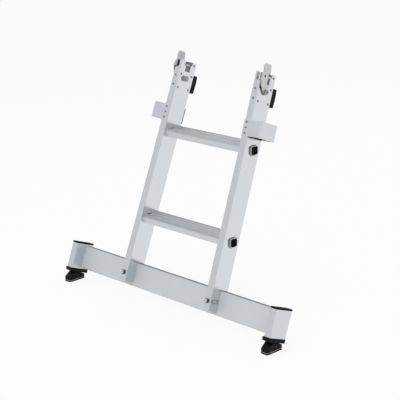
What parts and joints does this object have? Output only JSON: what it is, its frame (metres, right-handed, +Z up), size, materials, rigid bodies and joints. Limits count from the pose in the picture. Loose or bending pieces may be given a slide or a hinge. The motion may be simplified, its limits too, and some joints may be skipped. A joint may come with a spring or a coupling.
{
  "type": "ladder base section",
  "caption": "Leaning base section of a sectional window cleaning ladder: tapered stiles, flat steps, wide foot crossbeam on swivel feet, guide pockets and sprung latches at the top",
  "frame": {"origin": "on the ground, in the middle of the width and of the depth of the leaning section", "axes": "+X to the right along the crossbeam, +Y towards the wall the ladder leans on, +Z up"},
  "size_m": [0.8884, 0.3356, 0.7624],
  "materials": {
    "stile_aluminium": "smooth mill finish extrusion",
    "step_aluminium": "grooved extrusion",
    "beam_aluminium": "smooth mill finish extrusion",
    "sheet_aluminium": "bent sheet",
    "cast_aluminium": "blasted casting",
    "latch_metal": "zinc plated plate",
    "plated_steel": "zinc plated",
    "black_steel": "black coated pin",
    "rivet_metal": "satin",
    "spring_steel": "dark spring steel",
    "black_plastic": "fine grained black plastic",
    "pad_rubber": "black rubber",
    "tread_rubber": "black rubber",
    "sole_grey": "grey plastic"
  },
  "bodies": {
    "ladder": {"beam_bolts": "plated_steel", "beam_nuts": "plated_steel", "beam_sleeves": "plated_steel", "beam_washers": "plated_steel", "crossbeam": "beam_aluminium", "left_coupling_block": "cast_aluminium", "left_end_tube": "beam_aluminium", "left_foot_collar": "black_plastic", "left_foot_pin": "black_steel", "left_guide_pocket": "sheet_aluminium", "left_head_rivets": "rivet_metal", "left_latch_spring": "spring_steel", "left_pivot_bolt": "plated_steel", "left_pivot_nut": "plated_steel", "left_pivot_washer": "plated_steel", "left_pocket_rivets": "rivet_metal", "left_rear_pad": "pad_rubber", "left_stile": "stile_aluminium", "left_tube_cap": "black_plastic", "lower_step": "step_aluminium", "lower_step_plugs": "black_plastic", "pad_screws": "plated_steel", "right_coupling_block": "cast_aluminium", "right_end_tube": "beam_aluminium", "right_foot_collar": "black_plastic", "right_foot_pin": "black_steel", "right_guide_pocket": "sheet_aluminium", "right_head_rivets": "rivet_metal", "right_latch_spring": "spring_steel", "right_pivot_bolt": "plated_steel", "right_pivot_nut": "plated_steel", "right_pivot_washer": "plated_steel", "right_pocket_rivets": "rivet_metal", "right_rear_pad": "pad_rubber", "right_stile": "stile_aluminium", "right_tube_cap": "black_plastic", "stile_sleeves": "plated_steel", "upper_step": "step_aluminium", "upper_step_plugs": "black_plastic"},
    "left_latch": {"left_latch_lever": "latch_metal", "left_latch_nose": "black_plastic"},
    "left_foot": {"left_foot_shoe": "black_plastic", "left_sole_plate": "sole_grey", "left_sole_tread": "tread_rubber"},
    "right_latch": {"right_latch_lever": "latch_metal", "right_latch_nose": "black_plastic"},
    "right_foot": {"right_foot_shoe": "black_plastic", "right_sole_plate": "sole_grey", "right_sole_tread": "tread_rubber"}
  },
  "joints": [
    {"name": "left_latch_swing", "type": "hinge", "parent": "ladder", "child": "left_latch", "pos_m": [-0.16621, 0.11149, 0.67707], "axis": [0.9997, -0.0086, -0.0236], "range_deg": [0, 30], "stiffness_Nm_per_rad": 0.25, "springref_deg": -11.46, "deforming": ["left_latch_spring"]},
    {"name": "right_latch_swing", "type": "hinge", "parent": "ladder", "child": "right_latch", "pos_m": [0.16621, 0.11149, 0.67707], "axis": [0.9997, 0.0086, 0.0236], "range_deg": [0, 30], "stiffness_Nm_per_rad": 0.25, "springref_deg": -11.46, "deforming": ["right_latch_spring"]},
    {"name": "left_foot_tilt", "type": "hinge", "parent": "ladder", "child": "left_foot", "pos_m": [-0.43, -0.12842, 0.015], "axis": [1, 0, 0], "range_deg": [-5, 5]},
    {"name": "right_foot_tilt", "type": "hinge", "parent": "ladder", "child": "right_foot", "pos_m": [0.43, -0.12842, 0.015], "axis": [1, 0, 0], "range_deg": [-5, 5]}
  ]
}
